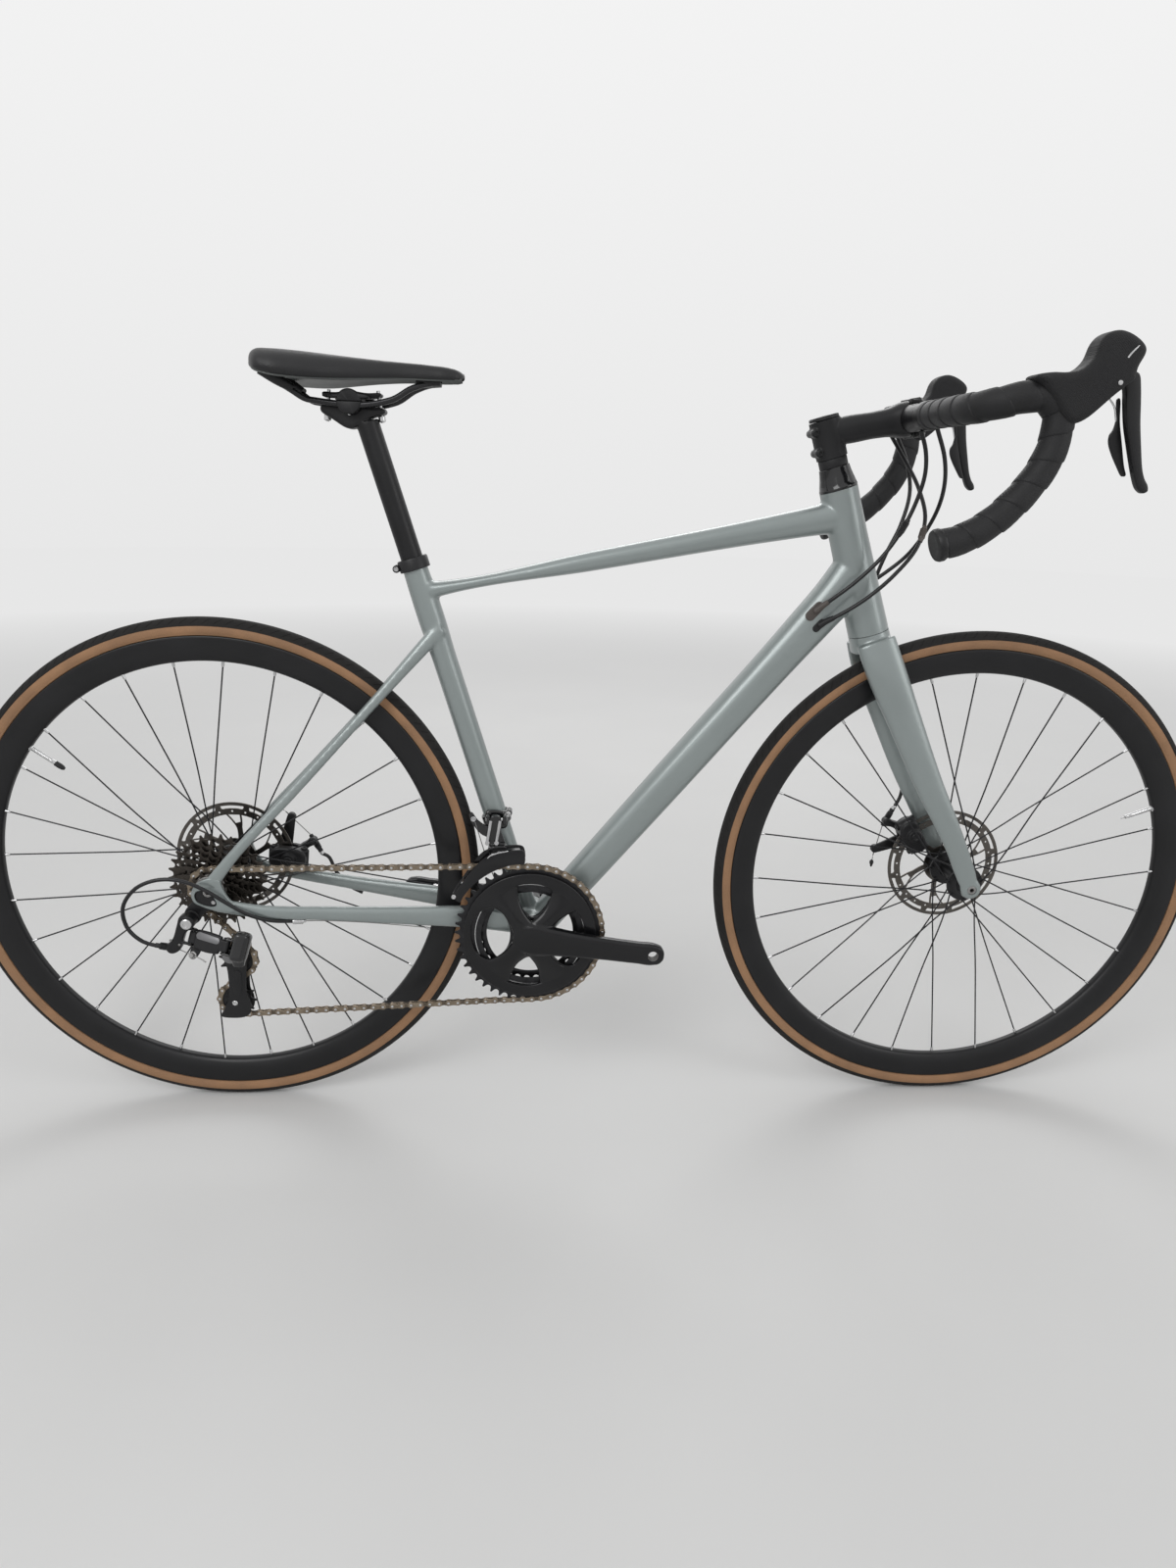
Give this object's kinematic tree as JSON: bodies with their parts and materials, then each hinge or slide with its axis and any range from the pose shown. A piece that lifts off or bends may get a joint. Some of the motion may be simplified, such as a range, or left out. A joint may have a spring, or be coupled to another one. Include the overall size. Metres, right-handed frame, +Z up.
{
  "type": "road bicycle",
  "caption": "Upright two-wheeled road bicycle with a drop handlebar, disc brakes, a narrow saddle, chain drive with derailleurs and crank arms without pedals.",
  "frame": {"origin": "on the ground, midway between the two wheel axles, in the bike's middle plane", "axes": "+X forwards, +Y to the rider's left, +Z up; the chain is on the -Y side"},
  "size_m": [1.678, 0.4603, 1.0063],
  "materials": {
    "frame_paint": "satin metallic paint",
    "black_metal": "anodised black",
    "gloss_black": "gloss",
    "bar_tape": "soft wrapped tape",
    "hood_rubber": "matt rubber",
    "housing": "smooth",
    "tyre": "black tread with a tan side",
    "spoke": "black oxide",
    "rotor": "ground",
    "cassette": "dark nickel",
    "chain": "oiled",
    "saddle": "satin",
    "steel": "polished"
  },
  "bodies": {
    "frame": {"frame": "frame_paint", "seat_collar": "black_metal", "rear_axle": "black_metal", "rear_brake_caliper": "black_metal", "bottom_bracket": "black_metal", "front_derailleur_clamp": "gloss_black", "derailleur_b_knuckle": "black_metal", "chain": "chain", "derailleur_housing": "housing", "headset_bearing_upper": "steel", "headset_bearing_lower": "steel"},
    "steering": {"fork": "frame_paint", "headset_cone": "gloss_black", "stem": "black_metal", "stem_faceplate": "black_metal", "stem_top_cap": "black_metal", "handlebar": "black_metal", "bar_tape_right": "bar_tape", "bar_tape_left": "bar_tape", "hood_right": "hood_rubber", "hood_left": "hood_rubber", "front_axle": "black_metal", "front_brake_caliper": "black_metal", "front_brake_cable": "housing", "rear_brake_cable": "housing", "rear_shift_cable": "housing", "front_shift_cable": "housing"},
    "brake_lever_right": {"brake_lever_right": "black_metal"},
    "brake_lever_left": {"brake_lever_left": "black_metal"},
    "shift_paddle_right": {"shift_paddle_right": "black_metal"},
    "shift_paddle_left": {"shift_paddle_left": "black_metal"},
    "front_wheel": {"tyre_front": "tyre", "rim_front": "black_metal", "spokes_front_right": "spoke", "spokes_front_left": "spoke", "hub_front": "black_metal", "rotor_front": "rotor"},
    "rear_wheel": {"tyre_rear": "tyre", "rim_rear": "black_metal", "spokes_rear_right": "spoke", "spokes_rear_left": "spoke", "hub_rear": "black_metal", "rotor_rear": "rotor"},
    "cassette": {"cassette": "cassette"},
    "crank": {"crankset_right": "black_metal", "chainring_outer": "black_metal", "chainring_inner": "black_metal", "crank_left": "black_metal"},
    "rear_derailleur_link": {"derailleur_link": "black_metal"},
    "rear_derailleur": {"derailleur_p_knuckle": "black_metal"},
    "derailleur_cage": {"derailleur_cage": "black_metal"},
    "guide_pulley": {"guide_pulley": "black_metal"},
    "tension_pulley": {"tension_pulley": "black_metal"},
    "front_derailleur": {"front_derailleur_cage": "steel"},
    "seatpost": {"seatpost": "black_metal"},
    "saddle_clamp": {"saddle_clamp": "black_metal"},
    "saddle": {"saddle": "saddle", "saddle_rails": "black_metal"},
    "front_caliper_arm": {"front_caliper_arm": "black_metal"},
    "rear_caliper_arm": {"rear_caliper_arm": "black_metal"}
  },
  "joints": [
    {"name": "steering", "type": "hinge", "parent": "frame", "child": "steering", "pos_m": [0.3407, 0, 0.67374], "axis": [-0.3074, 0, 0.9516], "range_deg": [-40, 40], "deforming": ["rear_brake_cable", "rear_shift_cable", "front_shift_cable"]},
    {"name": "front_wheel_spin", "type": "hinge", "parent": "steering", "child": "front_wheel", "pos_m": [0.5, 0, 0.339], "axis": [0, 1, 0], "continuous": true},
    {"name": "rear_wheel_spin", "type": "hinge", "parent": "frame", "child": "rear_wheel", "pos_m": [-0.5, 0, 0.339], "axis": [0, 1, 0], "continuous": true},
    {"name": "crank_spin", "type": "hinge", "parent": "frame", "child": "crank", "pos_m": [-0.0915, 0, 0.269], "axis": [0, 1, 0], "continuous": true},
    {"name": "cassette_spin", "type": "hinge", "parent": "frame", "child": "cassette", "pos_m": [-0.5, 0, 0.339], "axis": [0, 1, 0], "continuous": true},
    {"name": "derailleur_shift", "type": "slide", "parent": "frame", "child": "rear_derailleur", "axis": [0, 0.9397, -0.342], "range_m": [-0.0048, 0.0288], "deforming": ["chain"]},
    {"name": "derailleur_link_swing", "type": "hinge", "parent": "frame", "child": "rear_derailleur_link", "pos_m": [-0.52, -0.0855, 0.2835], "axis": [0.2281, 0.333, 0.9149], "range_deg": [-6, 34]},
    {"name": "derailleur_cage_swing", "type": "hinge", "parent": "rear_derailleur", "child": "derailleur_cage", "pos_m": [-0.471, 0, 0.262], "axis": [0, -1, 0], "range_deg": [-15, 60], "stiffness_Nm_per_rad": 0.8, "deforming": ["chain"]},
    {"name": "guide_pulley_spin", "type": "hinge", "parent": "derailleur_cage", "child": "guide_pulley", "pos_m": [-0.473, 0, 0.238], "axis": [0, 1, 0], "continuous": true},
    {"name": "tension_pulley_spin", "type": "hinge", "parent": "derailleur_cage", "child": "tension_pulley", "pos_m": [-0.479, 0, 0.18], "axis": [0, 1, 0], "continuous": true},
    {"name": "front_derailleur_swing", "type": "hinge", "parent": "frame", "child": "front_derailleur", "pos_m": [-0.1355, -0.03, 0.425], "axis": [1, 0, 0], "range_deg": [0, 9], "deforming": ["chain"]},
    {"name": "brake_lever_right_pull", "type": "hinge", "parent": "steering", "child": "brake_lever_right", "pos_m": [0.50295, -0.211, 0.96295], "axis": [0, 1, 0], "range_deg": [0, 20], "stiffness_Nm_per_rad": 0.8, "springref_deg": -5.73},
    {"name": "shift_paddle_right_push", "type": "hinge", "parent": "brake_lever_right", "child": "shift_paddle_right", "pos_m": [0.50425, -0.2032, 0.94245], "axis": [1, 0, 0], "range_deg": [0, 15], "stiffness_Nm_per_rad": 0.15, "springref_deg": -5.73},
    {"name": "brake_lever_left_pull", "type": "hinge", "parent": "steering", "child": "brake_lever_left", "pos_m": [0.50295, 0.211, 0.96295], "axis": [0, 1, 0], "range_deg": [0, 20], "stiffness_Nm_per_rad": 0.8, "springref_deg": -5.73},
    {"name": "shift_paddle_left_push", "type": "hinge", "parent": "brake_lever_left", "child": "shift_paddle_left", "pos_m": [0.50425, 0.2032, 0.94245], "axis": [-1, 0, 0], "range_deg": [0, 15], "stiffness_Nm_per_rad": 0.15, "springref_deg": -5.73},
    {"name": "front_caliper_arm_swing", "type": "hinge", "parent": "steering", "child": "front_caliper_arm", "pos_m": [0.44827, 0.0548, 0.37134], "axis": [0, 1, 0], "range_deg": [0, 24]},
    {"name": "rear_caliper_arm_swing", "type": "hinge", "parent": "frame", "child": "rear_caliper_arm", "pos_m": [-0.43655, 0.0675, 0.34747], "axis": [0, 1, 0], "range_deg": [0, 24]},
    {"name": "seatpost_height", "type": "slide", "parent": "frame", "child": "seatpost", "axis": [-0.294, 0, 0.9558], "range_m": [-0.08, 0.03]},
    {"name": "saddle_tilt", "type": "hinge", "parent": "seatpost", "child": "saddle_clamp", "pos_m": [-0.30554, 0, 0.9314], "axis": [0, 1, 0], "range_deg": [-8, 8]},
    {"name": "saddle_slide", "type": "slide", "parent": "saddle_clamp", "child": "saddle", "axis": [1, 0, 0], "range_m": [-0.015, 0.015]}
  ],
  "couplings": [
    {"joint": "cassette_spin", "follows": "crank_spin", "ratio": 3.6923},
    {"joint": "guide_pulley_spin", "follows": "crank_spin", "ratio": -4.3636},
    {"joint": "tension_pulley_spin", "follows": "crank_spin", "ratio": 4.3636},
    {"joint": "derailleur_link_swing", "follows": "derailleur_shift", "rad_per_m": 20.3},
    {"joint": "front_caliper_arm_swing", "follows": "brake_lever_left_pull", "ratio": 1.2},
    {"joint": "rear_caliper_arm_swing", "follows": "brake_lever_right_pull", "ratio": 1.2}
  ]
}
